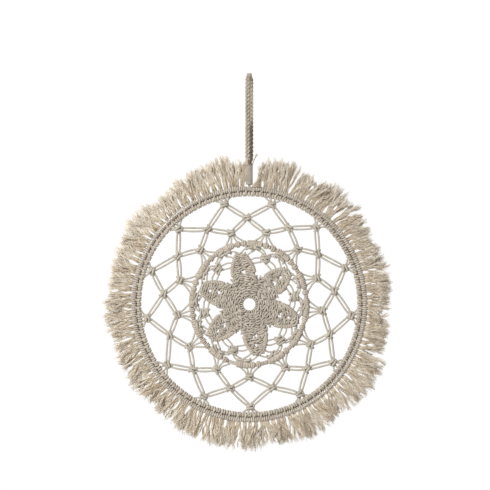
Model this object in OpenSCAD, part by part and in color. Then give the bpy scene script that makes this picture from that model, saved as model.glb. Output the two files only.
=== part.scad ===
// Macrame dream catcher: a cord-covered wire hoop with a knotted web, a ring, a six-petal rosette,
// a brushed fringe and a plaited hanging loop. Millimetres, +Z up, front towards -Y.
// The origin is on the inside of the hanging loop's crown, where a hook bears.
// Angles round the hoop run clockwise from the top, seen from the front.

/* [Hoop] */
// Centreline radius of the wire hoop
hoop_r = 127.2; // [115:0.1:160]
// Radius of the hoop wire
wire_r = 1.5; // [1:0.05:2]
// Outer radius of the wrapped row on the wire
wrap_row_r = 3; // [2.4:0.05:3.6]
// Outer radius of the knotted row just inside it
knot_row_r = 2.9; // [2.4:0.05:3.5]
// Radius of the filler cord inside the knotted row
filler_r = 1.2; // [0.8:0.05:1.6]

/* [Web] */
// Radius of one cotton cord
cord_r = 1; // [0.7:0.05:1.3]
// Distance between the two cords of a pair
pair_gap = 3.6; // [2.8:0.1:4.6]
// Radius of a web knot
knot_r = 3.1; // [2.4:0.1:3.6]
// How far the outer knots lie inside the knotted row's centreline
outer_knot_in = 8.7; // [7.5:0.1:11]
// How far the middle knots lie outside the inner ring's centreline
mid_knot_out = 29.3; // [26:0.1:33]
// How far the inner knots lie outside the inner ring's centreline
inner_knot_out = 15.6; // [12:0.1:17]

/* [Inner ring] */
// Centreline radius of the inner ring
ring_r = 65; // [54:0.1:78]
// Outer radius of the ring's wrapping
ring_wrap_r = 2.9; // [2.6:0.05:3.4]
// Degrees of ring left bare at the lower left
ring_bare = 7; // [4:1:12]

/* [Rosette] */
// Radius of the round hole in the middle
eye_r = 6.6; // [4:0.1:9]
// Flat-to-centre distance of the knotted middle
middle_r = 26; // [22:0.5:28]
// Thickness of the knotted work
work_t = 4.4; // [3:0.1:6]
// Gap between a petal's tip and the ring's wrapping
tip_gap = 5.1; // [4:0.1:8]
// Radius of the hitched bars along the petals
bar_r = 2; // [1.5:0.1:2.4]
// How far the lace knots lie inside the ring's centreline
lace_in = 13; // [11:0.5:15]

/* [Fringe] */
// Length of the fringe beyond the wrapped row
fringe_l = 25.8; // [15:0.5:40]
// Thickness of the fringe
fringe_t = 5; // [3:0.5:8]
// Depth of the notch between two tufts
tuft_notch = 12; // [6:0.5:14]

/* [Hanger] */
// Width of the plaited loop
plait_w = 8; // [6:0.5:9]
// Thickness of the plaited loop
plait_t = 5; // [3.5:0.5:6]
// Outer radius of the whipping
whip_r = 4.1; // [3.6:0.1:5]
// Length of the whipping
whip_l = 20.9; // [16:0.1:26]
// Wall of the whipping
whip_wall = 1.15; // [0.8:0.05:1.5]
// Radius of a cut tail
tail_r = 0.8; // [0.5:0.1:0.9]

/* [Fits] */
// Gap where a cord meets a knot or a neighbouring piece
seat = 0.05; // [0.02:0.01:0.1]
// Radial clearance of the hitch on the wire
run_fit = 0.06; // [0.05:0.005:0.08]
// Gap between pieces that move against each other
free_gap = 0.3; // [0.2:0.05:0.5]

/* [Hidden] */
$fn = 48;
RING_FACES = 180;
CORD_FACES = 24;
SECTORS = 13;
PETALS = 6;
sector_step = 360 / SECTORS;
petal_step = 360 / PETALS;

// Rows on the hoop
knot_row_at = hoop_r - wrap_row_r - seat - knot_row_r;
row_inside = knot_row_at - knot_row_r;
row_outside = hoop_r + wrap_row_r;

// Web radii
outer_knot_at = knot_row_at - outer_knot_in;
mid_knot_at = ring_r + mid_knot_out;
inner_knot_at = ring_r + inner_knot_out;
ring_outside = ring_r + ring_wrap_r;
ring_inside = ring_r - ring_wrap_r;
web_turn = 13;
outer_feet = [-4, -1, 1, 4];
inner_feet = [-9, -3, 3, 10];

// Ring core: two bare cords side by side
core_r = 1;
core_off = core_r + seat / 2;
bare_at = 196;

// Rosette
petal_tip = ring_inside - tip_gap;
lace_r = ring_r - lace_in;
petal_turn = -10.5;
bar_start = [middle_r + 8.2, 13.8];
bar_end = [petal_tip - 1.5, 3.8];
bar_run = bar_end - bar_start;
bar_dir = bar_run / norm(bar_run);
bar_out = [-bar_dir[1], bar_dir[0]];
petal_root_w = 14.4;
petal_holes = [[34.7, 0, 2], [petal_tip - 8.8, 0, 1.5]];
petal_root_holes = 27.8;
petal_root_hole_at = 14;
lace_feet = 9;
lace_bar_at = 0.6;

// Fringe
tufts = 10;
fringe_from = 3.4;
fringe_to = 356.8;
fringe_in = row_outside + seat;
fringe_out = row_outside + fringe_l;
fringe_step = (fringe_to - fringe_from) / SECTORS;
tuft_step = fringe_step / tufts;
tuft_side = 0.22;
sector_gap = 0.05;

// Hanger: the wire's top, the whipping on it and the loop above
hitch_w = 5.4;
hitch_r = wrap_row_r - seat;
row_gap = 2 * asin((hitch_w / 2 + free_gap) / hoop_r);
whip_in = whip_r - whip_wall;
whip_rise = wrap_row_r + 1;
loop_foot = -98.1;
whip_top = loop_foot - free_gap;
whip_foot = whip_top - whip_l;
wire_top = whip_foot - whip_rise;
hoop_z = wire_top - hoop_r;

// Route of the plaited loop, as distance from the middle plane and height, hook side last
crown = plait_t / 2;
foot_in = 1.45;
foot_at = whip_in - foot_in;
legs_apart = 0.6;
beside = max(foot_at + 1.7, (plait_t + legs_apart) / 2);
leg_route = [
    [foot_at, loop_foot], [foot_at + 0.4, -95], [foot_at + 1.2, -89.5], [beside, -82],
    [beside + 0.2, -72], [beside + 0.6, -62], [5, -52], [7.6, -42], [10.6, -32], [12.9, -23],
    [14.6, -16.5], [15, -12], [14.4, -7.5], [12.9, -3.6], [10.4, -0.6], [7.2, 1.4], [3.7, 2.3]
];
leg_end = len(leg_route) - 1;
route = concat(
    [for (p = leg_route) [-p[0], p[1]]],
    [[0, crown]],
    [for (i = [leg_end:-1:0]) leg_route[i]]
);
neck_l = 14;
neck_w = 4.6;
neck_apart = 0.4;
neck_t = min(2.6, 2 * foot_at - neck_apart);
tube_sides = 12;

// Cut tails: turn round the whipping, lean outwards, length
tails = [[90, 28, 12], [200, 36, 9], [300, 38, 7]];
tail_gap = 0.1;
tail_sunk = 2;

// Two-digit number
function two(k) = k < 10 ? str("0", k) : str(k);

// Point at a clockwise angle and radius, on the plane that holds the hoop
function at(a, r) = [r * sin(a), r * cos(a)];

// Unit vector from one plane point to another
function way(p, q) = (q - p) / norm(q - p);

// Where a cord from p towards angle a stops, just short of a ring's edge of radius r
function outward_foot(p, a, r) =
    let (d = way(p, at(a, r)), u = at(a, 1), slant = sqrt(1 - pow(d * u, 2)))
    at(a, r - seat - cord_r * slant);
function inward_foot(p, a, r) =
    let (d = way(p, at(a, r)), u = at(a, 1), slant = sqrt(1 - pow(d * u, 2)))
    at(a, r + seat + cord_r * slant);

// Length that two pairs of cords are cut back by at p, on their ways to q and r, to clear each other
function fork_cut(p, q, r) =
    let (corner = acos(way(p, q) * way(p, r)))
    max(knot_r + seat, (pair_gap / 2 + cord_r + seat) / tan(corner / 2));

// Length that a pair of cords is cut back by at p, on its way to q, to clear the one cord from p to r
function lone_cut(p, q, r) =
    let (corner = acos(way(p, q) * way(p, r)))
    ((pair_gap / 2 + cord_r) * cos(corner) + cord_r + seat) / sin(corner);

// Puts flat work, drawn in the hoop's plane round its centre, in place
module on_hoop() {
    translate([0, 0, hoop_z]) rotate([90, 0, 0]) children();
}

// Ring of round section in the hoop's plane, open by gap degrees round a clockwise angle
module ring_bar(r, bar, gap = 0, open_at = 0) {
    on_hoop() rotate([0, 0, 90 - open_at + gap / 2])
        rotate_extrude(angle = 360 - gap, $fn = RING_FACES) translate([r, 0]) circle(bar);
}

// One cord between two points of the hoop's plane
module cord(p, q) {
    run = q - p;
    on_hoop() translate([p[0], p[1], 0]) rotate([0, 0, atan2(run[1], run[0])]) rotate([0, 90, 0])
        cylinder(r = cord_r, h = norm(run), $fn = CORD_FACES);
}

// Two cords side by side, from start to end, cut short at both by the given lengths
module cord_pair(p, q, cut_p, cut_q) {
    d = way(p, q);
    side = [-d[1], d[0]] * pair_gap / 2;
    for (s = [-1, 1]) cord(p + d * cut_p + side * s, q - d * cut_q + side * s);
}

// Round knot at a point of the hoop's plane
module knot(p) {
    on_hoop() translate([p[0], p[1], 0]) sphere(r = knot_r);
}

// Steel hoop
module hoop_wire() {
    color("silver") ring_bar(hoop_r, wire_r);
}

// Row of fine wraps on the wire, open where the hanger is tied
module outer_wrap_row() {
    color("tan") difference() {
        ring_bar(hoop_r, wrap_row_r, row_gap);
        ring_bar(hoop_r, wire_r);
    }
}

// Filler cord that the inner row is knotted on
module knot_row_filler() {
    color("wheat") ring_bar(knot_row_at, filler_r);
}

// Row of knots just inside the wraps
module inner_knot_row() {
    color("tan") difference() {
        ring_bar(knot_row_at, knot_row_r);
        ring_bar(knot_row_at, filler_r);
    }
}

// One sector of the web: its outer, middle and inner knot and the cords that leave them
module web_section(k) {
    a = web_turn + (k - 1) * sector_step;
    outer = at(a, outer_knot_at);
    inner = at(a, inner_knot_at);
    mid = at(a - sector_step / 2, mid_knot_at);
    next_mid = at(a + sector_step / 2, mid_knot_at);
    last_outer = at(a - sector_step, outer_knot_at);
    last_inner = at(a - sector_step, inner_knot_at);
    feet_out = [for (f = outer_feet) outward_foot(outer, a + f, row_inside)];
    feet_in = [for (f = inner_feet) inward_foot(inner, a + f, ring_outside)];
    outer_clear = max(lone_cut(outer, mid, feet_out[0]), lone_cut(outer, next_mid, feet_out[3]));
    inner_clear = max(lone_cut(inner, mid, feet_in[0]), lone_cut(inner, next_mid, feet_in[3]));
    outer_cut = max(outer_clear, fork_cut(outer, mid, next_mid));
    inner_cut = max(inner_clear, fork_cut(inner, mid, next_mid));
    side_cut = fork_cut(mid, outer, inner);
    mid_cut = max(side_cut, fork_cut(mid, outer, last_outer), fork_cut(mid, inner, last_inner));
    color("wheat") {
        for (p = [outer, mid, inner]) knot(p);
        for (q = [mid, next_mid]) {
            cord_pair(outer, q, outer_cut, mid_cut);
            cord_pair(inner, q, inner_cut, mid_cut);
        }
        fan(outer, feet_out);
        fan(inner, feet_in);
    }
}

// Cords that spread from a knot to their feet, starting where they no longer touch each other
module fan(p, feet) {
    last = len(feet) - 1;
    turns = [for (i = [1:last]) acos(way(p, feet[i]) * way(p, feet[i - 1]))];
    start = max(knot_r + seat, (cord_r + seat) / sin(min(turns) / 2));
    for (foot = feet) cord(p + way(p, foot) * start, foot);
}

// The inner ring's two bare cords
module inner_ring_cords() {
    color("wheat") for (s = [-1, 1]) ring_bar(ring_r + s * core_off, core_r);
}

// Wrapping on the inner ring, with one bare stretch
module inner_ring_wrap() {
    color("tan") difference() {
        ring_bar(ring_r, ring_wrap_r, ring_bare, bare_at);
        for (s = [-1, 1]) ring_bar(ring_r + s * core_off, core_r);
    }
}

// Knotted middle of the rosette
module rosette_middle() {
    color("tan") on_hoop() rotate([0, 0, -petal_turn]) difference() {
        cylinder(r = middle_r / cos(petal_step / 2), h = work_t, center = true, $fn = PETALS);
        cylinder(r = eye_r, h = 2 * work_t, center = true);
    }
}

// Turns a petal's own plane, +X outwards, to its place
module petal_place(k) {
    on_hoop() rotate([0, 0, 90 - petal_turn - (k - 1) * petal_step]) children();
}

// Flat knotted petal between its two bars
module petal(k) {
    inset = bar_out * (bar_r + seat);
    a = bar_start - inset;
    b = bar_end - inset;
    half = [[middle_r + seat, petal_root_w], a, b];
    outline = concat(half, [[petal_tip, 0]], [for (i = [2:-1:0]) [half[i][0], -half[i][1]]]);
    color("burlywood") petal_place(k) difference() {
        linear_extrude(height = work_t, center = true) polygon(outline);
        for (h = petal_holes) translate([h[0], h[1], 0])
            cylinder(r = h[2], h = 2 * work_t, center = true, $fn = CORD_FACES);
        for (s = [-1, 1]) rotate([0, 0, s * petal_root_hole_at]) translate([petal_root_holes, 0, 0])
            cylinder(r = cord_r, h = 2 * work_t, center = true, $fn = CORD_FACES);
    }
}

// The two hitched bars along a petal's sides
module hitch_bars(k) {
    turn = atan2(bar_run[1], bar_run[0]);
    color("tan") petal_place(k) for (s = [0, 1]) mirror([0, s, 0])
        translate([bar_start[0], bar_start[1], 0]) rotate([0, 0, turn]) rotate([0, 90, 0])
            cylinder(r = bar_r, h = norm(bar_run));
}

// Lace between two petals and the ring: a knot, pairs to the ring and pairs to the bars
module lace(k) {
    a = petal_turn + (k - 0.5) * petal_step;
    centre = at(a, lace_r);
    bar_point = bar_start + bar_run * lace_bar_at;
    bar_angle = petal_step / 2 - atan2(bar_point[1], bar_point[0]);
    pair_clear = cord_r + seat + pair_gap / 2;
    color("wheat") {
        knot(centre);
        for (s = [-1, 1]) {
            foot = outward_foot(centre, a + s * lace_feet, ring_inside);
            hold = at(a + s * bar_angle, norm(bar_point));
            cut = fork_cut(centre, foot, hold);
            cord_pair(centre, foot, cut, pair_clear);
            cord_pair(centre, hold, cut, bar_r + pair_clear);
        }
    }
}

// One sector of the fringe, notched into tufts
module fringe(k) {
    from = fringe_from + (k - 1) * fringe_step;
    step = tuft_step;
    root = [for (i = [tufts:-1:0]) at(from + i * step - sector_trim(i), fringe_in / cos(step / 2))];
    tips = [for (i = [0:tufts - 1]) each [
        at(from + i * step + sector_trim(0), fringe_out - tuft_notch),
        at(from + (i + tuft_side) * step, fringe_out),
        at(from + (i + 1 - tuft_side) * step, fringe_out)
    ]];
    last = [at(from + tufts * step - sector_trim(tufts), fringe_out - tuft_notch)];
    color("navajowhite") on_hoop()
        linear_extrude(height = fringe_t, center = true) polygon(concat(root, tips, last));
}

// Small angle that keeps neighbouring sectors apart
function sector_trim(i) = i == tufts ? sector_gap : 0;

// Rings of the plaited tube: narrower over the neck at each end
function neck_share(p) = min(1, (p[1] - loop_foot) / neck_l);
function route_way(i) =
    way(route[max(i - 1, 0)], route[min(i + 1, len(route) - 1)]);
function tube_ring(i) =
    let (
        p = route[i],
        d = i == 0 || i == len(route) - 1 ? [0, sign(len(route) / 2 - i)] : route_way(i),
        n = [-d[1], d[0]],
        g = neck_share(p),
        w = neck_w + (plait_w - neck_w) * g,
        t = neck_t + (plait_t - neck_t) * g
    )
    [for (j = [0:tube_sides - 1]) let (b = 360 * j / tube_sides)
        [w / 2 * cos(b), p[0] + n[0] * t / 2 * sin(b), p[1] + n[1] * t / 2 * sin(b)]];

// Plaited cord loop
module hanging_loop() {
    rings = [for (i = [0:len(route) - 1]) tube_ring(i)];
    points = [for (r = rings) each r];
    last = len(points) - tube_sides;
    sides = [for (i = [0:len(rings) - 2]) for (j = [0:tube_sides - 1])
        let (a = i * tube_sides, m = (j + 1) % tube_sides)
        [a + j, a + m, a + m + tube_sides, a + j + tube_sides]];
    caps = [
        [for (j = [tube_sides - 1:-1:0]) j],
        [for (j = [0:tube_sides - 1]) last + j]
    ];
    color("burlywood") polyhedron(points, concat(sides, caps));
}

// Wrapped sleeve that binds the hanger's cords
module whipping() {
    color("wheat") translate([0, 0, whip_foot]) difference() {
        cylinder(r = whip_r, h = whip_l);
        translate([0, 0, -1]) cylinder(r = whip_in, h = whip_l + 2);
    }
}

// Cords that turn round the wire and run up inside the whipping
module hanger_hitch() {
    color("tan") difference() {
        union() {
            translate([0, 0, wire_top]) rotate([0, 90, 0])
                cylinder(r = hitch_r, h = hitch_w, center = true);
            translate([0, 0, wire_top]) cylinder(r = hitch_w / 2, h = whip_rise);
            translate([0, 0, whip_foot]) cylinder(r = whip_in - seat, h = whip_l);
        }
        translate([0, 0, wire_top]) rotate([0, 90, 0])
            cylinder(r = wire_r + run_fit, h = 2 * hitch_w, center = true);
    }
}

// Cut cord ends that stand out at the whipping's top, each cut level with it at the foot
module cut_tails() {
    color("wheat") for (t = tails) {
        length = t[2] + tail_sunk;
        translate([0, 0, whip_top + seat]) rotate([0, 0, 90 - t[0]])
            translate([whip_r + tail_gap, 0, 0]) intersection() {
                rotate([0, t[1], 0]) translate([0, 0, -tail_sunk])
                    cylinder(r = tail_r, h = length, $fn = CORD_FACES);
                translate([-length, -length, 0]) cube(2 * length);
            }
    }
}

hanging_loop();
cut_tails();
whipping();
hanger_hitch();
hoop_wire();
outer_wrap_row();
knot_row_filler();
inner_knot_row();
inner_ring_cords();
inner_ring_wrap();
rosette_middle();
for (k = [1:SECTORS]) web_section(k);
for (k = [1:PETALS]) petal(k);
for (k = [1:PETALS]) hitch_bars(k);
for (k = [1:PETALS]) lace(k);
for (k = [1:SECTORS]) fringe(k);
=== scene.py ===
import math
import random

import bmesh
import bpy
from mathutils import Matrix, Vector


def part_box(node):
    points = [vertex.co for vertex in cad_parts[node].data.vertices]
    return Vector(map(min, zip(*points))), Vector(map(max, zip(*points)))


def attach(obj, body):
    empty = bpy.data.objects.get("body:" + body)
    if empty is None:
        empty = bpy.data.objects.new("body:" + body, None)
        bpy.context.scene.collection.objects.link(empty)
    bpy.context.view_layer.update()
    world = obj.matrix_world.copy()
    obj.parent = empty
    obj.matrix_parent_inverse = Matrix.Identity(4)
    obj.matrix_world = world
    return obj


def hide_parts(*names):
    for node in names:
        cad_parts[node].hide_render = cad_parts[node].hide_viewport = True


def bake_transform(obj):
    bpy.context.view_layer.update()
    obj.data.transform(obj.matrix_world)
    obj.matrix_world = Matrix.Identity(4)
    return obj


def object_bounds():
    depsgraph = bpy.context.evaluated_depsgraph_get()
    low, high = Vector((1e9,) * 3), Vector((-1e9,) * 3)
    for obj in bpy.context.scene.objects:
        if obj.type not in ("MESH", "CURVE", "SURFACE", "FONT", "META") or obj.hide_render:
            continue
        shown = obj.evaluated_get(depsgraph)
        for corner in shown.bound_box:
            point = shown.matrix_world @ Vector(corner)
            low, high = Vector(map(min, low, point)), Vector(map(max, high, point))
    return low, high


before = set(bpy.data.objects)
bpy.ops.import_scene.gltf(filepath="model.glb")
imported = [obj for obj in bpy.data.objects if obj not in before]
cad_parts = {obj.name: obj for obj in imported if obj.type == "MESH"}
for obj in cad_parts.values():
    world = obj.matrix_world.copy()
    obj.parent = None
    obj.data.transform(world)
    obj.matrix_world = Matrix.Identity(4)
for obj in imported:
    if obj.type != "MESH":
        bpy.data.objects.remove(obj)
CAD_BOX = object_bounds()

MM = 0.001
FULL = 360.0

# ---------------------------------------------------------------- places, read from the frame


def middle_of(node):
    low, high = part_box(node)
    return (low + high) / 2


def half_width(node):
    low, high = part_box(node)
    return (high.x - low.x) / 2


def half_depth(node):
    low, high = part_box(node)
    return (high.y - low.y) / 2


HUB = middle_of("hoop_wire")
WIRE_R = half_depth("hoop_wire")
HOOP_R = half_width("hoop_wire") - WIRE_R
WRAP_ROW_R = half_depth("outer_wrap_row")
KNOT_ROW_R = half_depth("inner_knot_row")
KNOT_ROW_AT = half_width("inner_knot_row") - KNOT_ROW_R
ROW_OUTSIDE = HOOP_R + WRAP_ROW_R
ROW_INSIDE = KNOT_ROW_AT - KNOT_ROW_R
RING_WRAP_R = half_depth("inner_ring_wrap")
RING_R = half_width("inner_ring_wrap") - RING_WRAP_R
WHIP_LOW, WHIP_HIGH = (p.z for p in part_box("whipping"))
WHIP_R = half_width("whipping")
WIRE_TOP = HUB.z + HOOP_R

SECTORS = 13
SECTOR = FULL / SECTORS
PETALS = 6
PETAL = FULL / PETALS
WEB_TURN = 13.0
PETAL_TURN = -10.5
OUTER_KNOT_AT = KNOT_ROW_AT - 8.7 * MM
MID_KNOT_AT = RING_R + 29.3 * MM
INNER_KNOT_AT = RING_R + 15.6 * MM
LACE_AT = RING_R - 13 * MM
BARE_AT = 196.0
BARE_WIDE = 7.0
HANGER_GAP = 2.7
OVAL = 0.031
INNER_FEET = (-9.3, -3.2, 3.0, 9.6)

# ---------------------------------------------------------------- cords

CORD_R = 1.06 * MM
STEP = 0.75 * MM
PLY_TURN = 5.5 * MM


def on_hoop(turn, reach, depth=0.0):
    """Point at a clockwise turn from the top, a reach from the hoop's middle and a depth, front negative."""
    a = math.radians(turn)
    return Vector((HUB.x + reach * math.sin(a), HUB.y + depth, HUB.z + reach * math.cos(a)))


def oval(turn, reach):
    """Reach of the inner ring's work there: the ring is pulled a little taller than it is wide."""
    return reach * (1 + OVAL * math.cos(2 * math.radians(turn)))


def cord_section(name, lobes, depth, sides):
    """Outline that a cord is drawn with: round, with one lobe for each ply."""
    outline = bpy.data.curves.new(name, "CURVE")
    outline.dimensions = "2D"
    edge = outline.splines.new("POLY")
    edge.points.add(sides - 1)
    for i, point in enumerate(edge.points):
        a = -2 * math.pi * i / sides
        r = 1 - depth + depth * math.cos(lobes * a)
        point.co = (r * math.cos(a), r * math.sin(a), 0, 1)
    edge.use_cyclic_u = True
    section = bpy.data.objects.new(name, outline)
    bpy.context.scene.collection.objects.link(section)
    section.hide_render = True
    return section


def smooth_route(points, step=STEP):
    """Closely spaced points on a smooth line through the given ones."""
    first = points[0] * 2 - points[1]
    last = points[-1] * 2 - points[-2]
    held = [first, *points, last]
    route = []
    for p0, p1, p2, p3 in zip(held, held[1:], held[2:], held[3:]):
        count = max(1, round((p2 - p1).length / step))
        for i in range(count):
            t = i / count
            bend = (2 * p0 - 5 * p1 + 4 * p2 - p3) * t * t + (3 * p1 - p0 - 3 * p2 + p3) * t ** 3
            route.append((2 * p1 + (p2 - p0) * t + bend) / 2)
    return [*route, points[-1].copy()]


def spin(name, runs, section, finishes, ply_turn=PLY_TURN):
    """One piece made of many cords. A run is its points, its radius or radii, and which finish it takes."""
    curve = bpy.data.curves.new(name, "CURVE")
    curve.dimensions = "3D"
    curve.bevel_mode = "OBJECT"
    curve.bevel_object = section
    curve.use_fill_caps = True
    curve.twist_mode = "MINIMUM"
    for finish in finishes:
        curve.materials.append(finish)
    for points, radius, tone in runs:
        spline = curve.splines.new("POLY")
        spline.points.add(len(points) - 1)
        spline.material_index = tone
        spline.use_smooth = True
        radii = radius if isinstance(radius, list) else [radius] * len(points)
        along = 0.0
        before = points[0]
        for spot, point, r in zip(spline.points, points, radii):
            along += (point - before).length
            before = point
            spot.co = (*point, 1)
            spot.radius = r
            spot.tilt = 2 * math.pi * along / ply_turn
    drawn = bpy.data.objects.new(name + "_line", curve)
    bpy.context.scene.collection.objects.link(drawn)
    ready = drawn.evaluated_get(bpy.context.evaluated_depsgraph_get())
    mesh = bpy.data.meshes.new_from_object(ready)
    bpy.data.objects.remove(drawn)
    bpy.data.curves.remove(curve)
    work = bmesh.new()
    work.from_mesh(mesh)
    bmesh.ops.remove_doubles(work, verts=work.verts, dist=1e-7)
    bmesh.ops.recalc_face_normals(work, faces=work.faces)
    work.to_mesh(mesh)
    work.free()
    mesh.name = name
    piece = bpy.data.objects.new(name, mesh)
    bpy.context.scene.collection.objects.link(piece)
    return piece


def wound_ring(ring_r, reach, start, sweep, pitch, rng, pair=0.0, jitter=0.0, shape=None):
    """A cord wound round a ring from a clockwise angle on: square across the front, stepping on behind."""
    length = math.radians(sweep) * ring_r
    turns = round(length / pitch)
    each = max(12, round(2 * math.pi * reach / STEP))
    drift = [rng.uniform(-jitter, jitter) for _ in range(turns + 2)]
    swell = [rng.uniform(-jitter, jitter) * 0.5 for _ in range(turns + 2)]
    points = []
    for i in range(turns * each + 1):
        turn_at = i / each
        k = int(turn_at)
        f = turn_at - k
        stepped = min(1.0, 2 * f) * 0.75 + f * 0.25
        slip = drift[k] * (1 - stepped) + drift[k + 1] * stepped + pair * math.cos(math.pi * k)
        grow = swell[k] * (1 - f) + swell[k + 1] * f
        angle = start + sweep * ((k + stepped) / turns) + math.degrees(slip / ring_r)
        a = 2 * math.pi * turn_at
        r = reach + grow
        middle = shape(angle, ring_r) if shape else ring_r
        points.append(on_hoop(angle, middle + r * math.cos(a), r * math.sin(a)))
    return points


# ---------------------------------------------------------------- finishes


class Grain:
    """A socket of a finish, so that its maths reads as plain sums."""

    def __init__(self, tree, socket):
        self.tree = tree
        self.socket = socket

    def combined(self, operation, first, second):
        node = self.tree.nodes.new("ShaderNodeMath")
        node.operation = operation
        for place, value in zip(node.inputs, (first, second)):
            if isinstance(value, Grain):
                self.tree.links.new(value.socket, place)
            else:
                place.default_value = value
        return Grain(self.tree, node.outputs[0])

    def __add__(self, other):
        return self.combined("ADD", self, other)

    def __radd__(self, other):
        return self.combined("ADD", other, self)

    def __sub__(self, other):
        return self.combined("SUBTRACT", self, other)

    def __rsub__(self, other):
        return self.combined("SUBTRACT", other, self)

    def __mul__(self, other):
        return self.combined("MULTIPLY", self, other)

    def __rmul__(self, other):
        return self.combined("MULTIPLY", other, self)


class Finish:
    """A material that is being put together."""

    def __init__(self, name):
        self.material = bpy.data.materials.new(name)
        self.material.use_nodes = True
        self.tree = self.material.node_tree
        self.surface = self.tree.nodes["Principled BSDF"]

    def add(self, kind, settings, values, output=0):
        """A node of that kind, its settings first and then its sockets' values or links."""
        node = self.tree.nodes.new(kind)
        for key, value in settings.items():
            setattr(node, key, value)
        for key, value in values.items():
            self.put(node.inputs[key], value)
        return Grain(self.tree, node.outputs[output])

    def put(self, socket, value):
        if isinstance(value, Grain):
            self.tree.links.new(value.socket, socket)
        else:
            socket.default_value = value

    def place(self):
        """Where a spot lies in the piece's own frame."""
        return self.add("ShaderNodeTexCoord", {}, {}, "Object")

    def noise(self, size, detail=2.0, rough=0.5):
        """Noise whose grains are about that size, in metres, in the piece's own frame."""
        place = self.place()
        values = {"Vector": place, "Scale": 1 / size, "Detail": detail, "Roughness": rough}
        return self.add("ShaderNodeTexNoise", {}, values)

    def blend(self, share, first, second):
        node = self.tree.nodes.new("ShaderNodeMix")
        node.data_type = "RGBA"
        self.put(node.inputs["Factor"], share)
        self.put(node.inputs[6], (*first, 1) if isinstance(first, tuple) else first)
        self.put(node.inputs[7], (*second, 1) if isinstance(second, tuple) else second)
        return Grain(self.tree, node.outputs[2])

    def ramp(self, share, low, high):
        """Share stretched so that low comes out 0 and high comes out 1."""
        values = {"Value": share, "From Min": low, "From Max": high}
        return self.add("ShaderNodeMapRange", {"clamp": True}, values)

    def bump(self, height, distance, strength):
        values = {"Height": height, "Distance": distance, "Strength": strength}
        return self.add("ShaderNodeBump", {}, values, "Normal")

    def set(self, **values):
        for key, value in values.items():
            self.put(self.surface.inputs[key.replace("_", " ").title()], value)
        return self.material

    def soften(self, sheen):
        """The faint sheen and dull face of cotton."""
        self.surface.inputs["Sheen Weight"].default_value = sheen
        self.surface.inputs["Sheen Roughness"].default_value = 0.6
        self.surface.inputs["Specular IOR Level"].default_value = 0.2


def cotton(name, pale, deep, patchy):
    """Undyed cotton: patchy where the cord has soaked up handling, with a fuzz of loose fibre."""
    finish = Finish(name)
    patch = finish.ramp(finish.noise(patchy, 3.0), 0.32, 0.68)
    strand = finish.ramp(finish.noise(1.7 * MM, 2.0), 0.3, 0.7)
    hairs = finish.noise(0.22 * MM, 3.0, 0.65)
    tone = 0.44 * patch + 0.32 * strand + 0.24 * finish.ramp(hairs, 0.3, 0.7)
    colour = finish.blend(tone, deep, pale)
    normal = finish.bump(hairs, 0.09 * MM, 0.8)
    finish.soften(0.25)
    return finish.set(Base_Color=colour, Roughness=0.82 + 0.14 * hairs, Normal=normal)


def brushed_cotton(name, pale, deep, tip):
    """Cotton that has been brushed out: darker and matted at its roots, paler at its tips, where the
    paleness is partly painted light for light shining through the fine loose fibres.
    """
    finish = Finish(name)
    bunch = finish.ramp(finish.noise(5 * MM, 3.0), 0.32, 0.68)
    hairs = finish.noise(0.5 * MM, 3.0, 0.6)
    between = {0: finish.place(), 1: tuple(HUB)}
    away = finish.add("ShaderNodeVectorMath", {"operation": "DISTANCE"}, between, "Value")
    out = finish.ramp(away, ROW_OUTSIDE, ROW_OUTSIDE + 26 * MM)
    root = finish.blend(0.7 * bunch + 0.3 * hairs, deep, pale)
    # painted light, in part: the colour turns paler out towards the tips, standing in for light shining
    # through the fine fibres
    colour = finish.blend(0.15 + 0.75 * out, root, tip)
    normal = finish.bump(hairs, 0.04 * MM, 0.5)
    finish.soften(0.3)
    return finish.set(Base_Color=colour, Roughness=0.84 + 0.12 * hairs, Normal=normal)


def drawn_wire(name):
    """Plain drawn steel with fine draw lines and a few dull spots."""
    finish = Finish(name)
    lines = finish.noise(0.3 * MM, 2.0, 0.6)
    spots = finish.ramp(finish.noise(4 * MM, 4.0), 0.5, 0.75)
    colour = finish.blend(spots, (0.56, 0.56, 0.55), (0.36, 0.34, 0.31))
    return finish.set(
        Base_Color=colour,
        Metallic=1.0 - 0.35 * spots,
        Roughness=0.3 + 0.25 * lines + 0.2 * spots,
        Normal=finish.bump(lines, 0.02 * MM, 0.5),
    )


def pale_floor(name):
    """Pale studio floor."""
    finish = Finish(name)
    speck = finish.noise(60 * MM, 4.0)
    colour = finish.blend(speck, (0.90, 0.90, 0.89), (0.94, 0.94, 0.93))
    return finish.set(Base_Color=colour, Roughness=0.75 + 0.1 * speck)


THREE_PLY = cord_section("three_ply_section", 3, 0.09, 9)
SOFT_PLY = cord_section("soft_ply_section", 3, 0.035, 9)
FIBRE = cord_section("fibre_section", 1, 0.0, 3)

RIM_COTTON = cotton("rim_cotton", (0.62, 0.55, 0.46), (0.38, 0.32, 0.25), 9 * MM)
WEB_COTTON = cotton("web_cotton", (0.58, 0.53, 0.45), (0.38, 0.335, 0.27), 9 * MM)
ROSETTE_COTTON = cotton("rosette_cotton", (0.62, 0.56, 0.475), (0.31, 0.265, 0.21), 6.5 * MM)
HANGER_COTTON = cotton("hanger_cotton", (0.54, 0.47, 0.38), (0.31, 0.255, 0.185), 6 * MM)
WHIPPING_COTTON = cotton("whipping_cotton", (0.56, 0.50, 0.42), (0.38, 0.33, 0.27), 5 * MM)
FRINGE_TONES = [
    brushed_cotton("fringe_pale", (0.75, 0.655, 0.51), (0.59, 0.49, 0.355), (0.88, 0.80, 0.675)),
    brushed_cotton("fringe_middle", (0.66, 0.55, 0.40), (0.49, 0.39, 0.27), (0.81, 0.715, 0.575)),
    brushed_cotton("fringe_tan", (0.55, 0.435, 0.30), (0.40, 0.305, 0.20), (0.71, 0.59, 0.44)),
]
STEEL = drawn_wire("drawn_steel")

# ---------------------------------------------------------------- knots

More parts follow.
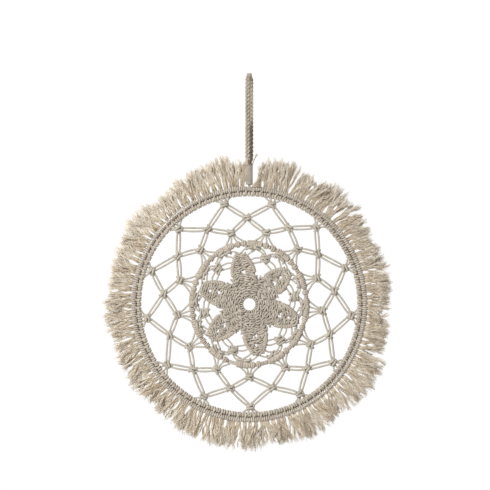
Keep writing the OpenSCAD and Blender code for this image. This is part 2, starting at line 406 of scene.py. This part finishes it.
# Upper half of each knotting cord's way through a square knot: aside, depth and along, in millimetres
FRONT_HALF = [(-1.9, 0.2, 3.4), (-2.5, -0.5, 2.1), (-1.2, -1.75, 1.35), (1.2, -1.8, 0.95), (2.5, -0.7, 0.7)]
BACK_HALF = [(1.9, -0.2, 3.4), (2.6, 0.5, 2), (1.2, 1.75, 1.35), (-1.2, 1.8, 0.95), (-2.8, 0.7, 0.9)]


def both_halves(half, middle):
    """A knotting cord's whole way: the upper half, its middle, and the upper half turned over."""
    return [*half, middle, *((x, y, -z) for x, y, z in reversed(half))]


KNOTTING_CORDS = (both_halves(FRONT_HALF, (2.75, 0.4, 0)), both_halves(BACK_HALF, (-3.1, -0.9, 0)))
HELD_CORDS = (-0.95, 0.95)


def square_knot(turn, reach, rng, size=1.0, wide=1.0, lean=0.0, flip=1, held=3.3, loose=0.14):
    """A square knot: two cords tied round two that run on through it, away from the hoop's middle."""
    centre = on_hoop(turn, reach, rng.uniform(-2, 2) * loose * MM)
    a = math.radians(turn + lean)
    out = Vector((math.sin(a), 0, math.cos(a)))
    side = Vector((math.cos(a), 0, -math.sin(a)))

    def place(x, y, z):
        return centre + (side * (x * wide * flip) + Vector((0, y, 0)) + out * z) * (size * MM)

    runs = []
    for shape in KNOTTING_CORDS:
        slack = [place(*(c + rng.uniform(-loose, loose) for c in point)) for point in shape]
        runs.append((smooth_route(slack), CORD_R * size, 0))
    for x in HELD_CORDS:
        line = [place(x, 0, held), place(x * 0.9, 0.1, 0), place(x, 0, -held)]
        runs.append((smooth_route(line), CORD_R * size, 0))
    return runs


PAIR_R = 1.2 * MM
PAIR_PINCH = 1.15 * MM
PAIR_PARTED = 0.7 * MM
PARTING = ((0.0, 0.0), (0.16, 0.72), (0.4, 1.0), (0.6, 1.0), (0.84, 0.72), (1.0, 0.0))


def across(run):
    """Way at right angles to a run, in the hoop's plane."""
    return Vector((-run.z, 0, run.x)).normalized()


def cord_pair(start, end, rng):
    """Two cords side by side between two knots, close together at both and parted between."""
    run = end - start
    runs = []
    bow = rng.uniform(-0.5, 0.5) * MM
    for side in (-1, 1):
        shape = []
        for t, share in PARTING:
            off = side * (PAIR_PINCH + PAIR_PARTED * share) + bow * math.sin(math.pi * t)
            dip = Vector((0, rng.uniform(-0.35, 0.35) * MM, 0))
            shape.append(start + run * t + across(run) * off + dip)
        runs.append((smooth_route(shape), PAIR_R, 0))
    return runs


# ---------------------------------------------------------------- the web


def web_spots():
    """Where the web's knots lie, one outer, middle and inner knot for each sector, a little uneven."""
    rng = random.Random(41)
    spots = {}
    for k in range(SECTORS):
        a = WEB_TURN + k * SECTOR
        for kind, turn, reach in (
            ("outer", a, OUTER_KNOT_AT),
            ("middle", a - SECTOR / 2, MID_KNOT_AT),
            ("inner", a, INNER_KNOT_AT),
        ):
            spots[kind, k] = (turn + rng.uniform(-1.1, 1.1), reach + rng.uniform(-0.9, 0.9) * MM)
    return spots


WEB_KNOT_SIZE = 1.3
FAN_R = 1.12 * MM


def fan_of_cords(spot, feet, edge, rng, curl):
    """Cords that spread from a knot to the ring or the rim, the outermost with a curve in them."""
    turn, knot_reach = spot
    start = on_hoop(turn, knot_reach)
    runs = []
    for i, foot in enumerate(feet):
        share = i / (len(feet) - 1) * 2 - 1
        end = on_hoop(turn + foot, edge(turn + foot), rng.uniform(-0.3, 0.3) * MM)
        mid = (start + end) / 2
        run = end - start
        side = across(run)
        begin = start + run.normalized() * (1.6 * MM) + side * (share * 0.5 * MM)
        bow = side * (curl * share * MM)
        runs.append((smooth_route([begin, mid + bow, end]), FAN_R, 0))
    return runs


def rim_edge(turn):
    """Reach at which the web's cords meet the rim, the same at every turn."""
    return ROW_INSIDE + 0.7 * MM


def ring_edge(turn):
    """Reach at which the web's cords meet the inner ring."""
    return oval(turn, RING_R) + RING_WRAP_R - 0.9 * MM


def web_cords(spots):
    """The knotted web, a piece for each sector."""
    pieces = []
    for k in range(SECTORS):
        rng = random.Random(100 + k)
        after = (k + 1) % SECTORS
        runs = []
        for kind in ("outer", "middle", "inner"):
            turn, reach = spots[kind, k]
            flip = rng.choice((-1, 1))
            runs += square_knot(turn, reach, rng, WEB_KNOT_SIZE, 1.0, rng.uniform(-16, 16), flip, 2.6, 0.2)
        for kind in ("outer", "inner"):
            for mid in (k, after):
                start = on_hoop(*spots[kind, k])
                end = on_hoop(*spots["middle", mid])
                inside = (end - start).normalized() * (2.0 * MM)
                runs += cord_pair(start + inside, end - inside, rng)
        outer_feet = [-4.0 + rng.uniform(-0.5, 0.5), -1.5, 1.3, 4.0 + rng.uniform(-0.5, 0.5)]
        inner_feet = [foot + rng.uniform(-0.6, 0.6) for foot in INNER_FEET]
        runs += fan_of_cords(spots["outer", k], outer_feet, rim_edge, rng, 0.3)
        runs += fan_of_cords(spots["inner", k], inner_feet, ring_edge, rng, -0.5)
        piece = spin(f"web_cords_{k + 1:02d}", runs, THREE_PLY, [WEB_COTTON])
        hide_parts(f"web_section_{k + 1:02d}")
        pieces.append(piece)
    return pieces


# ---------------------------------------------------------------- the rim


WRAP_R = 1.0 * MM
WRAP_PITCH = 2.4 * MM
HITCH_R = 1.05 * MM
HITCH_PITCH = 2.9 * MM
GROOVE_R = 1.1 * MM
GROOVE_BACK = 2.3 * MM
GROOVE_STEPS = 900
BRIDGES = 88


def wrapped_row():
    """The outer row: cord wound closely round the wire, open where the hanger is tied."""
    rng = random.Random(7)
    start = HANGER_GAP / 2 + 0.16
    sweep = FULL - 2 * start
    points = wound_ring(HOOP_R, WRAP_ROW_R - WRAP_R, start, sweep, WRAP_PITCH, rng, jitter=0.2 * MM)
    piece = spin("wrapped_row", [(points, WRAP_R, 0)], SOFT_PLY, [RIM_COTTON])
    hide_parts("outer_wrap_row")
    return piece


def knotted_row():
    """The inner row: half hitches on the filler cord, every third one with a cord over to the wraps."""
    rng = random.Random(8)
    reach = KNOT_ROW_R - HITCH_R
    points = wound_ring(KNOT_ROW_AT, reach, 0.0, FULL, HITCH_PITCH, rng, 0.22 * MM, 0.18 * MM)
    runs = [(points, HITCH_R, 0)]
    groove = HOOP_R - WRAP_ROW_R
    turns = [FULL * i / GROOVE_STEPS for i in range(GROOVE_STEPS + 1)]
    runs.append(([on_hoop(turn, groove, GROOVE_BACK) for turn in turns], GROOVE_R, 0))
    for i in range(BRIDGES):
        turn = FULL * (i + 0.5) / BRIDGES + rng.uniform(-0.4, 0.4)
        for depth in (-1, 1):
            lie = [
                on_hoop(turn - 0.5, KNOT_ROW_AT - 0.6 * MM, depth * (KNOT_ROW_R - 0.3 * MM)),
                on_hoop(turn - 0.2, KNOT_ROW_AT + 1.6 * MM, depth * (KNOT_ROW_R - 0.75 * MM)),
                on_hoop(turn + 0.2, KNOT_ROW_AT + 3.4 * MM, depth * (KNOT_ROW_R - 1.5 * MM)),
                on_hoop(turn + 0.5, HOOP_R - 1.6 * MM, depth * (WRAP_ROW_R - 1.2 * MM)),
            ]
            runs.append((smooth_route(lie), CORD_R * 0.9, 0))
    piece = spin("knotted_row", runs, SOFT_PLY, [RIM_COTTON])
    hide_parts("inner_knot_row")
    return piece


# ---------------------------------------------------------------- the inner ring


RING_STEPS = 420
RING_CORD_R = 0.95 * MM
RING_PITCH = 2.2 * MM
LACE_FEET = (-5, -1.7, 1.7, 5)


def ring_cords():
    """The two plain cords inside the ring, which show where it is bare."""
    runs = []
    for off in (-1.05, 1.05):
        points = []
        for i in range(RING_STEPS + 1):
            turn = FULL * i / RING_STEPS
            points.append(on_hoop(turn, oval(turn, RING_R) + off * MM, 0.15 * MM * math.sin(i * 0.6)))
        runs.append((points, CORD_R, 0))
    piece = spin("ring_cords", runs, THREE_PLY, [WEB_COTTON])
    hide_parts("inner_ring_cords")
    return piece


def raised_hitch(turn, reach, rng, radius, gap):
    """Two loops side by side round the ring, standing a little proud, where a cord is tied on."""
    runs = []
    middle = oval(turn, RING_R)
    for twin in (-gap, gap):
        loop = []
        for i in range(19):
            a = 2 * math.pi * i / 16 + 0.4
            slant = (twin + 0.5 * i / 16 - 0.25) * math.degrees(MM / middle)
            r = reach + rng.uniform(-0.1, 0.1) * MM
            loop.append(on_hoop(turn + slant, middle + r * math.cos(a), r * math.sin(a)))
        runs.append((smooth_route(loop), radius, 0))
    return runs


def ring_wrap(spots):
    """Close wraps on the ring, with a pair of raised hitches wherever a web or lace cord is tied on."""
    rng = random.Random(10)
    start = BARE_AT + BARE_WIDE / 2 + 0.3
    sweep = FULL - BARE_WIDE - 0.6
    reach = RING_WRAP_R - RING_CORD_R - 0.25 * MM
    points = wound_ring(RING_R, reach, start, sweep, RING_PITCH, rng, 0.0, 0.22 * MM, oval)
    runs = [(points, RING_CORD_R, 0)]
    feet = [spots["inner", k][0] + foot for k in range(SECTORS) for foot in INNER_FEET]
    for i in range(2 * PETALS):
        feet += [PETAL_TURN + PETAL / 2 * (i + 0.5) + foot for foot in LACE_FEET]
    for at in feet:
        if abs((at - BARE_AT + 180) % FULL - 180) > BARE_WIDE / 2 + 1.5:
            proud = rng.uniform(-0.35, 0.1) * MM
            runs += raised_hitch(at + rng.uniform(-0.6, 0.6), RING_WRAP_R + proud, rng, CORD_R, 1.0)
    piece = spin("ring_wrap", runs, SOFT_PLY, [RIM_COTTON])
    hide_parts("inner_ring_wrap")
    return piece


# ---------------------------------------------------------------- the rosette

EYE_R = 6.6 * MM
EYE_RIM = 1.5 * MM
EYE_CORD_R = 0.85 * MM
KNOT_WIDE = 6.3
MIDDLE_ROWS = [(12.2, 12, 0.0), (17.2, 17, 0.5), (22.2, 22, 0.0)]
PAIR_ROW_AT = 27.0
PAIR_HALF = 3.6
PETAL_ROWS = [
    (31.2, (-20.5, -12.6, -4.6, 4.6, 12.6, 20.5)),
    (35.6, (-15.4, -9.4, 9.4, 15.4)),
    (40.2, (-13.2, -3.4, 3.4, 13.2)),
    (44.8, (-6.6, 6.6)),
    (49.2, (-6.4, 0.0, 6.4)),
    (53.8, (-2.8, 2.8)),
]
BAR_START = (33.4, 12.4)
BAR_END = (54.6, 5.2)
BAR_BOW = 1.5
BAR_PITCH = 1.95 * MM


def spread(reach, aside):
    """Turn and reach of a spot on a petal, from how far along and to the side it is, in millimetres."""
    return math.degrees(math.atan2(aside, reach)), math.hypot(reach, aside) * MM


def on_petal(turn, reach, aside, depth=0.0):
    """Point on the petal with that turn, from how far along and to the side it is, in millimetres."""
    lean, out = spread(reach, aside)
    return on_hoop(turn + lean, out, depth)


def rosette_middle():
    """Rows of square knots round the eye."""
    rng = random.Random(20)
    rim_at = EYE_R + EYE_RIM + EYE_CORD_R * 0.5
    rim = wound_ring(rim_at, EYE_RIM, 0, FULL, WRAP_PITCH, rng, jitter=0.1 * MM)
    runs = [(rim, EYE_CORD_R, 0)]
    for reach, count, shift in MIDDLE_ROWS:
        for i in range(count):
            turn = PETAL_TURN + FULL * (i + shift) / count
            wide = 2 * math.pi * reach / count / KNOT_WIDE
            lean = rng.uniform(-18, 18)
            runs += square_knot(turn, reach * MM, rng, 1.04, wide, lean, rng.choice((-1, 1)), 2.6, 0.42)
    for i in range(2 * PETALS):
        for side in (-1, 1):
            turn = PETAL_TURN + PETAL / 2 * i + side * math.degrees(PAIR_HALF / PAIR_ROW_AT)
            lean = side * -5 + rng.uniform(-14, 14)
            runs += square_knot(turn, PAIR_ROW_AT * MM, rng, 1.04, 1.0, lean, rng.choice((-1, 1)), 2.6, 0.42)
    piece = spin("rosette_knots", runs, THREE_PLY, [ROSETTE_COTTON])
    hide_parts("rosette_middle")
    return piece


def petal_knots(k):
    """One petal: rows of square knots, closer and fewer towards its tip."""
    rng = random.Random(30 + k)
    turn = PETAL_TURN + (k - 1) * PETAL
    runs = []
    for reach, leans in PETAL_ROWS:
        for lean in leans:
            at = turn + lean + rng.uniform(-0.5, 0.5)
            out = (reach + rng.uniform(-0.3, 0.3)) * MM
            tilt = rng.uniform(-22, 22) + lean * 0.5
            size = rng.uniform(0.96, 1.14)
            runs += square_knot(at, out, rng, size, 1.0, tilt, rng.choice((-1, 1)), 2.5, 0.42)
    piece = spin(f"petal_knots_{k}", runs, THREE_PLY, [ROSETTE_COTTON])
    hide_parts(f"petal_{k}")
    return piece


def bar_line(turn, side, share):
    """Point on the middle line of a petal's ridge, which bows outwards."""
    reach = BAR_START[0] + (BAR_END[0] - BAR_START[0]) * share
    aside = BAR_START[1] + (BAR_END[1] - BAR_START[1]) * share + BAR_BOW * math.sin(math.pi * share)
    return on_petal(turn, reach, side * aside, -1.2 * MM)


def petal_bars(k):
    """The two ridges of close hitches along a petal's sides."""
    turn = PETAL_TURN + (k - 1) * PETAL
    runs = []
    for side in (-1, 1):
        line = [bar_line(turn, side, i / 10) for i in range(11)]
        length = sum((b - a).length for a, b in zip(line, line[1:]))
        turns = round(length / BAR_PITCH)
        count = turns * 14
        points = []
        for i in range(count + 1):
            t = i / count
            spot = bar_line(turn, side, t)
            run = bar_line(turn, side, t + 0.01) - bar_line(turn, side, t - 0.01)
            a = 2 * math.pi * turns * t
            tapered = min(1.0, 0.6 + 4 * t, 0.6 + 4 * (1 - t))
            r = (1.5 + 0.1 * math.sin(i * 0.23)) * MM * tapered
            points.append(spot + across(run) * (r * math.cos(a)) + Vector((0, r * 1.05 * math.sin(a), 0)))
        runs.append((points, 0.95 * MM, 0))
        runs.append((smooth_route(line), 0.9 * MM, 0))
    piece = spin(f"petal_bars_{k}", runs, SOFT_PLY, [RIM_COTTON])
    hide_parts(f"hitch_bars_{k}")
    return piece


def lace_cords(k):
    """The open work between two petals and the ring: a double knot, and knots at each side by the ring."""
    rng = random.Random(60 + k)
    turn = PETAL_TURN + (k - 0.5) * PETAL
    middle = turn + rng.uniform(-1.2, 1.2)
    runs = []
    for rise, wide in ((-2.2, 1.25), (2.0, 1.5)):
        reach = oval(turn, LACE_AT) + (rise + rng.uniform(-0.4, 0.4)) * MM
        lean = rng.uniform(-14, 14)
        runs += square_knot(middle, reach, rng, 1.12, wide, lean, rng.choice((-1, 1)), 2.6, 0.35)
    for side in (-1, 1):
        petal_turn = turn + side * PETAL / 2

        def spot(lean, reach, pulled=1.0, depth=0.0):
            """Point at a lean from the petal's own line, its reach pulled that far on to the ring's oval."""
            at = petal_turn - side * lean
            return on_hoop(at, reach * MM * (1 - pulled) + oval(at, reach * MM) * pulled, depth * MM)

        slip = rng.uniform(-1, 1)
        for lean in (11.8, 18.2):
            at = petal_turn - side * (lean + slip)
            reach = oval(at, RING_R) - RING_WRAP_R - 0.6 * MM
            tilt = rng.uniform(-20, 20)
            runs += square_knot(at, reach, rng, 1.24, 1.0, tilt, rng.choice((-1, 1)), 2.5, 0.4)
        routes = (
            (spot(10.5, 47.6, 0.3, -1.0), spot(17.0, 50.4, 0.5, -0.4), spot(25.5, 51.8, 0.8)),
            (spot(14.0, 44.4, 0.3, -1.0), spot(20.0, 45.4, 0.5, -0.4), spot(26.5, 47.2, 0.8)),
            (spot(1.5, 56.6, 0.5, -1.0), spot(6.0, 59.0), spot(11.0, 60.2), spot(13.0, 61.2)),
            (spot(7.5, 52.6, 0.4, -1.0), spot(11.5, 55.2, 0.8), spot(16.0, 57.6)),
            (spot(27.5, 53.6), spot(24.0, 57.0), spot(18.5, 58.8)),
            (spot(29.5, 55.0), spot(26.0, 59.0), spot(21.5, 61.0), spot(18.5, 61.4)),
        )
        for route in routes:
            loosened = []
            for point in route:
                slack = Vector((0, rng.uniform(-0.3, 0.3), rng.uniform(-0.3, 0.3)))
                loosened.append(point + slack * MM)
            runs.append((smooth_route(loosened), CORD_R, 0))
    piece = spin(f"lace_cords_{k}", runs, THREE_PLY, [WEB_COTTON])
    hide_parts(f"lace_{k}")
    return piece


# ---------------------------------------------------------------- the fringe

TUFTS = 10
FRINGE_FROM = 3.4
FRINGE_TO = 357.9
FRINGE_STEP = (FRINGE_TO - FRINGE_FROM) / SECTORS
FRINGE_LENGTH = 26.9
WISPS = 9
FIBRES = 13
FIBRE_POINTS = 8
LONGER = [
    (18, 2.5), (46, 3), (62, -3), (76, 2), (92, -5), (110, 2.5), (130, 3), (156, 4), (192, 3),
    (228, -2), (246, 1), (266, 4), (284, -3), (306, 4), (318, -4), (340, 3), (352, 5),
]


def patch_length(turn):
    """How much longer or shorter than usual the fringe is there, in millimetres."""
    total = 0.0
    for centre, more in LONGER:
        apart = (turn - centre + 180) % FULL - 180
        total += more * math.exp(-((apart / 8.0) ** 2))
    return total


def tuft_lean(turn):
    """How far the fringe leans clockwise there, in degrees: combed over on the right, else near straight."""
    right = math.exp(-(((turn - 60) / 55) ** 2))
    low = math.exp(-(((turn - 180) / 30) ** 2))
    return 13 * right - 2 * low


def fibre(root_turn, root_depth, start, lean, length, splay, sink, wave, phase, beat):
    """One loose fibre, crimped as it was in the cord and splayed towards its tip."""
    points = []
    direction = math.radians(lean)
    for i in range(FIBRE_POINTS):
        u = i / (FIBRE_POINTS - 1)
        free = max(0.0, u - 0.12) / 0.88
        out = start + length * (u - (1 - math.cos(direction)) * free)
        crimp = wave * math.sin(phase + beat * u) * (0.25 + free)
        aside = length * free * math.sin(direction) + splay * free ** 1.3 + crimp
        depth = root_depth + (sink - root_depth) * free ** 1.2 + crimp * 0.5
        points.append(on_hoop(root_turn + math.degrees(aside / out), out * MM, depth * MM))
    return points


def fibre_radii(thick):
    """Radii along a fibre, which is finer at its tip."""
    return [thick] * (FIBRE_POINTS - 2) + [thick * 0.85, thick * 0.5]


def fallen_tuft(rng):
    """A short tuft beside the hanger that has dropped over the rim."""
    runs = []
    for lock in range(3):
        lock_lean = 38 + 19 * lock
        for _ in range(14):
            lean = lock_lean + rng.gauss(0, 4)
            length = 12.5 - abs(rng.gauss(0, 1.5)) - lock
            points = fibre(
                1.9 + rng.gauss(0, 0.25),
                -3.2,
                ROW_OUTSIDE / MM - 1.5,
                lean,
                length,
                rng.gauss(0, 0.6) - 1.5,
                -4.2 + rng.gauss(0, 0.5),
                0.6,
                1 + lock,
                6,
            )
            thick = rng.uniform(0.16, 0.24) * MM
            runs.append((points, fibre_radii(thick), rng.choice((1, 2, 2))))
    return runs


def fringe(k):
    """One sector of brushed-out tufts: plied ends at the roots, then locks of loose fibre."""
    rng = random.Random(500 + k)
    runs = []
    ends = []
    clumps = [(rng.gauss(0, 9), rng.gauss(0, 2.2)) for _ in range(TUFTS // 2)]
    for i in range(TUFTS):
        clump_lean, clump_length = clumps[i // 2]
        turn = FRINGE_FROM + (k - 1) * FRINGE_STEP + (i + 0.5) * FRINGE_STEP / TUFTS
        turn += rng.uniform(-0.4, 0.4)
        lean = tuft_lean(turn) + clump_lean + rng.gauss(0, 5)
        length = FRINGE_LENGTH + 1.3 * patch_length(turn) + clump_length + rng.gauss(0, 1)
        if FULL - turn < 7:
            lean = 5 + rng.gauss(0, 2)
        if turn < 8:
            lean = 8 + rng.gauss(0, 2)
        for side in (-0.42, 0.42):
            base = []
            for rise, draw in ((-1.2, 1.0), (1.2, 0.95), (3.2, 0.9), (4.8, 0.8)):
                base.append(on_hoop(turn + side * draw + lean * rise * 0.004, ROW_OUTSIDE + rise * MM))
            route = smooth_route(base)
            ends.append((route, [CORD_R] * (len(route) - 2) + [CORD_R * 0.8, CORD_R * 0.5], 0))
        for wisp in range(WISPS):
            share = (wisp + 0.5) / WISPS * 2 - 1
            wisp_lean = lean + share * 7 + rng.gauss(0, 9)
            wisp_length = length * (1.06 - abs(rng.gauss(0, 0.14)))
            wisp_sink = rng.gauss(0, 2.6)
            phase = rng.uniform(0, 2 * math.pi)
            beat = rng.uniform(7, 14)
            wave = rng.uniform(0.4, 1.7)
            tone = rng.choices((0, 1, 2), (7, 4, 3))[0]
            root = turn + share * 0.95 + rng.gauss(0, 0.12)
            for _ in range(FIBRES):
                shade = tone if rng.random() < 0.85 else rng.choice((0, 1, 2))
                stray = 4.0 if rng.random() < 0.07 else 1.0
                points = fibre(
                    root + rng.gauss(0, 0.1),
                    rng.gauss(0, 0.6),
                    ROW_OUTSIDE / MM + rng.uniform(-0.8, 1.5),
                    wisp_lean + rng.gauss(0, 1.5 * stray),
                    wisp_length * (1.03 - abs(rng.gauss(0, 0.09))),
                    rng.gauss(0, 0.4 * stray),
                    wisp_sink + rng.gauss(0, 0.5),
                    wave * rng.uniform(0.8, 1.2),
                    phase + rng.gauss(0, 0.3),
                    beat,
                )
                runs.append((points, fibre_radii(rng.uniform(0.17, 0.26) * MM), shade))
    if k == 1:
        runs += fallen_tuft(rng)
    piece = spin(f"fringe_{k:02d}_brushed", runs, FIBRE, FRINGE_TONES, 1.0)
    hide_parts(f"fringe_{k:02d}")
    roots = spin(f"fringe_{k:02d}_roots", ends, THREE_PLY, [FRINGE_TONES[1]])
    return [piece, roots]


# ---------------------------------------------------------------- the hanger

LEG = [
    (1.5, -98.1), (1.9, -95), (2.7, -89.5), (3.2, -82), (3.4, -72), (3.8, -62), (5, -52),
    (7.6, -42), (10.6, -32), (12.9, -23), (14.6, -16.5), (15, -12), (14.3, -7.7), (12.8, -4),
    (10.3, -1.1), (7.1, 0.8), (3.7, 1.7),
]
CROWN = (0, 2)
PLAIT_R = CORD_R * 1.1
PLAIT_TURN = 13.5 * MM
PLAIT_HALF = 1.75 * MM
PLAIT_LIFT = 0.85 * MM
LEGS_APART = 1.8 * MM
NECK = 7 * MM


def eased(share):
    """Share held between 0 and 1 and eased at both ends."""
    held = min(1.0, max(0.0, share))
    return held * held * (3 - 2 * held)


def leg_aside(z, front):
    """How far a leg of the loop hangs aside: the front one to the left and the back one to the right."""
    below_crown = eased((CROWN[1] * MM - z) / (6 * MM))
    near_foot = eased((-88 * MM - z) / (10 * MM))
    apart = LEGS_APART * below_crown * (1 - 0.45 * near_foot)
    return -apart if front else apart


def plaited_loop():
    """The hanging loop: three cords plaited, up the front leg, over the crown and down the back one."""
    line = [(-y, z) for y, z in LEG] + [CROWN] + LEG[::-1]
    flat = smooth_route([Vector((0, y * MM, z * MM)) for y, z in line], 0.6 * MM)
    route = []
    for spot in flat:
        route.append(spot + Vector((leg_aside(spot.z, spot.y < 0), 0, 0)))
    along = [0.0]
    for a, b in zip(route, route[1:]):
        along.append(along[-1] + (b - a).length)
    runs = []
    for strand in range(3):
        points = []
        for i, (spot, s) in enumerate(zip(route, along)):
            ahead = (route[min(i + 1, len(route) - 1)] - route[max(i - 1, 0)]).normalized()
            normal = Vector((0, -ahead.z, ahead.y)).normalized()
            plait = eased(min(s, along[-1] - s) / NECK)
            a = 2 * math.pi * (s / PLAIT_TURN + strand / 3)
            crossing = PLAIT_HALF * math.sin(a)
            hanging = (strand - 1) * 1.7 * MM
            lift = PLAIT_LIFT * math.sin(2 * a) * (0.3 + 0.7 * plait)
            aside = plait * crossing + (1 - plait) * hanging
            points.append(spot + Vector((aside, 0, 0)) + normal * lift)
        runs.append((points, PLAIT_R, 0))
    piece = spin("plaited_loop", runs, THREE_PLY, [HANGER_COTTON], 4.5 * MM)
    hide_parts("hanging_loop")
    [tuple(p) for p in route[::4]] + [tuple(route[-1])]
    return piece


WHIP_CORD_R = 0.6 * MM
WHIP_STEPS = 30
HITCH_CORD_R = 0.62 * MM
TAIL_R = 0.68 * MM
TAIL_HAIRS = 50


def whipping():
    """Fine cord wound in close turns round the hanger's foot."""
    wound = WHIP_HIGH - WHIP_LOW - 2 * WHIP_CORD_R
    steps = round(wound / (2.02 * WHIP_CORD_R)) * WHIP_STEPS
    points = []
    for i in range(steps + 1):
        a = 2 * math.pi * i / WHIP_STEPS
        z = WHIP_LOW + WHIP_CORD_R + wound * i / steps
        r = WHIP_R - WHIP_CORD_R + 0.05 * MM * math.sin(i * 0.11)
        points.append(Vector((r * math.cos(a), r * math.sin(a), z)))
    piece = spin("whipping_turns", [(points, WHIP_CORD_R, 0)], THREE_PLY, [WHIPPING_COTTON], 3.2 * MM)
    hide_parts("whipping")
    return piece


def hitch_loops():
    """Cords that pass round the wire and run up inside the whipping."""
    runs = []
    reach = WIRE_R + 0.08 * MM + HITCH_CORD_R
    high = WHIP_HIGH - 1 * MM
    low = WHIP_LOW + 2 * MM
    for x in (-1.3, 0.0, 1.3):
        inside = x * 0.8 * MM
        points = [Vector((inside, -1.2 * MM, high)), Vector((inside, -1.3 * MM, low))]
        for i in range(13):
            a = math.radians(-12 - 17 * i)
            points.append(Vector((x * MM, -reach * math.cos(a), WIRE_TOP + reach * math.sin(a))))
        points += [Vector((inside, 1.3 * MM, low)), Vector((inside, 1.2 * MM, high))]
        runs.append((smooth_route(points), HITCH_CORD_R, 0))
    piece = spin("hitch_loops", runs, THREE_PLY, [RIM_COTTON])
    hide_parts("hanger_hitch")
    return piece


def frayed_tails():
    """Cut ends of cord that stand out at the top of the whipping."""
    rng = random.Random(73)
    runs = []
    for turn, bend, length in ((90, 1.0, 13), (200, 1.1, 8), (300, 0.7, 6)):
        a = math.radians(turn)
        out = Vector((math.sin(a), math.cos(a), 0))
        base = Vector((0, 0, WHIP_HIGH)) + out * (3.3 * MM)
        points = [base - Vector((0, 0, 1.5 * MM))]
        for t in (0.1, 0.35, 0.6, 0.8):
            rise = Vector((0, 0, length * t * MM))
            points.append(base + out * (bend * 0.4 * length * t ** 1.4 * MM) + rise)
        tip = points[-1]
        way = (points[-1] - points[-2]).normalized()
        runs.append((smooth_route(points), TAIL_R, 0))
        for _ in range(TAIL_HAIRS):
            sway = Vector((rng.gauss(0, 0.35), rng.gauss(0, 0.35), rng.gauss(0, 0.25)))
            far = tip + (way + sway * 0.7) * (length * rng.uniform(0.12, 0.28) * MM)
            near = tip - way * (0.8 * MM) + sway * (0.5 * MM)
            thick = rng.uniform(0.12, 0.18) * MM
            hair = [near, (near + far) / 2 + sway * 0.2 * MM, far]
            runs.append((hair, [thick, thick, thick * 0.5], 1))
    piece = spin("frayed_tails", runs, THREE_PLY, [HANGER_COTTON, FRINGE_TONES[1]])
    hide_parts("cut_tails")
    return piece


# ---------------------------------------------------------------- camera, stage and light


CAMERA_AWAY = 3.0
WIDTH_SEEN = 0.539
CAMERA_LEFT = 0.0047
CAMERA_ABOVE = 0.0652
FLOOR_R = 2.2
FLOOR_BELOW = 0.45


def camera():
    """A long lens square on to the hoop's face."""
    lens = bpy.data.cameras.new("camera")
    lens.sensor_width = 36
    lens.lens = lens.sensor_width * CAMERA_AWAY / WIDTH_SEEN
    lens.clip_end = 50
    view = bpy.data.objects.new("camera", lens)
    view.location = (HUB.x - CAMERA_LEFT, -CAMERA_AWAY, HUB.z + CAMERA_ABOVE)
    view.rotation_euler = (math.radians(90), 0, 0)
    bpy.context.scene.collection.objects.link(view)
    bpy.context.scene.camera = view


def stage():
    """A pale floor well below the piece."""
    work = bmesh.new()
    bmesh.ops.create_circle(work, cap_ends=True, segments=64, radius=FLOOR_R)
    bmesh.ops.translate(work, verts=work.verts, vec=(0, 0, CAD_BOX[0].z - FLOOR_BELOW))
    mesh = bpy.data.meshes.new("floor")
    work.to_mesh(mesh)
    work.free()
    mesh.materials.append(pale_floor("pale_floor"))
    floor = bpy.data.objects.new("floor", mesh)
    bpy.context.scene.collection.objects.link(floor)


def soft_light(name, place, aim, size, power):
    """A square soft box at that place, turned to face its aim."""
    lamp = bpy.data.lights.new(name, "AREA")
    lamp.size = size
    lamp.energy = power
    box = bpy.data.objects.new(name, lamp)
    box.location = place
    box.rotation_euler = (Vector(aim) - Vector(place)).to_track_quat("-Z", "Y").to_euler()
    bpy.context.scene.collection.objects.link(box)


def studio():
    """White all round, dimmer as a light than it looks, with a key light high on the left and one behind."""
    world = bpy.data.worlds.new("studio")
    world.use_nodes = True
    tree = world.node_tree
    sky = tree.nodes["Background"]
    sky.inputs["Color"].default_value = (1, 1, 1, 1)
    seen = tree.nodes.new("ShaderNodeLightPath")
    level = tree.nodes.new("ShaderNodeMapRange")
    level.inputs["To Min"].default_value = 0.27
    level.inputs["To Max"].default_value = 1.02
    tree.links.new(seen.outputs["Is Camera Ray"], level.inputs["Value"])
    tree.links.new(level.outputs["Result"], sky.inputs["Strength"])
    bpy.context.scene.world = world
    bpy.context.scene.view_settings.view_transform = "Standard"
    soft_light("key", (-1.45, -2.1, 1.3), (0, 0, HUB.z), 0.7, 88)
    soft_light("back_fill", (1.3, 2.4, 0.9), (0, 0, HUB.z), 1.6, 48)


# ---------------------------------------------------------------- making it

camera()
loop = plaited_loop()
spots = web_spots()
on_foot = [whipping(), hitch_loops(), frayed_tails()]
on_hoop_pieces = [wrapped_row(), knotted_row(), ring_cords(), ring_wrap(spots), rosette_middle()]
on_hoop_pieces += web_cords(spots)
for k in range(1, PETALS + 1):
    on_hoop_pieces += [petal_knots(k), petal_bars(k), lace_cords(k)]
for k in range(1, SECTORS + 1):
    on_hoop_pieces += fringe(k)

for piece in on_foot:
    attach(piece, "foot")
for piece in on_hoop_pieces:
    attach(piece, "hoop")
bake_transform(loop)

for node, finish in (("hoop_wire", STEEL), ("knot_row_filler", WEB_COTTON)):
    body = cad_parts[node]
    body.data.materials.clear()
    body.data.materials.append(finish)
for section in (THREE_PLY, SOFT_PLY, FIBRE):
    bpy.data.objects.remove(section)

stage()
studio()
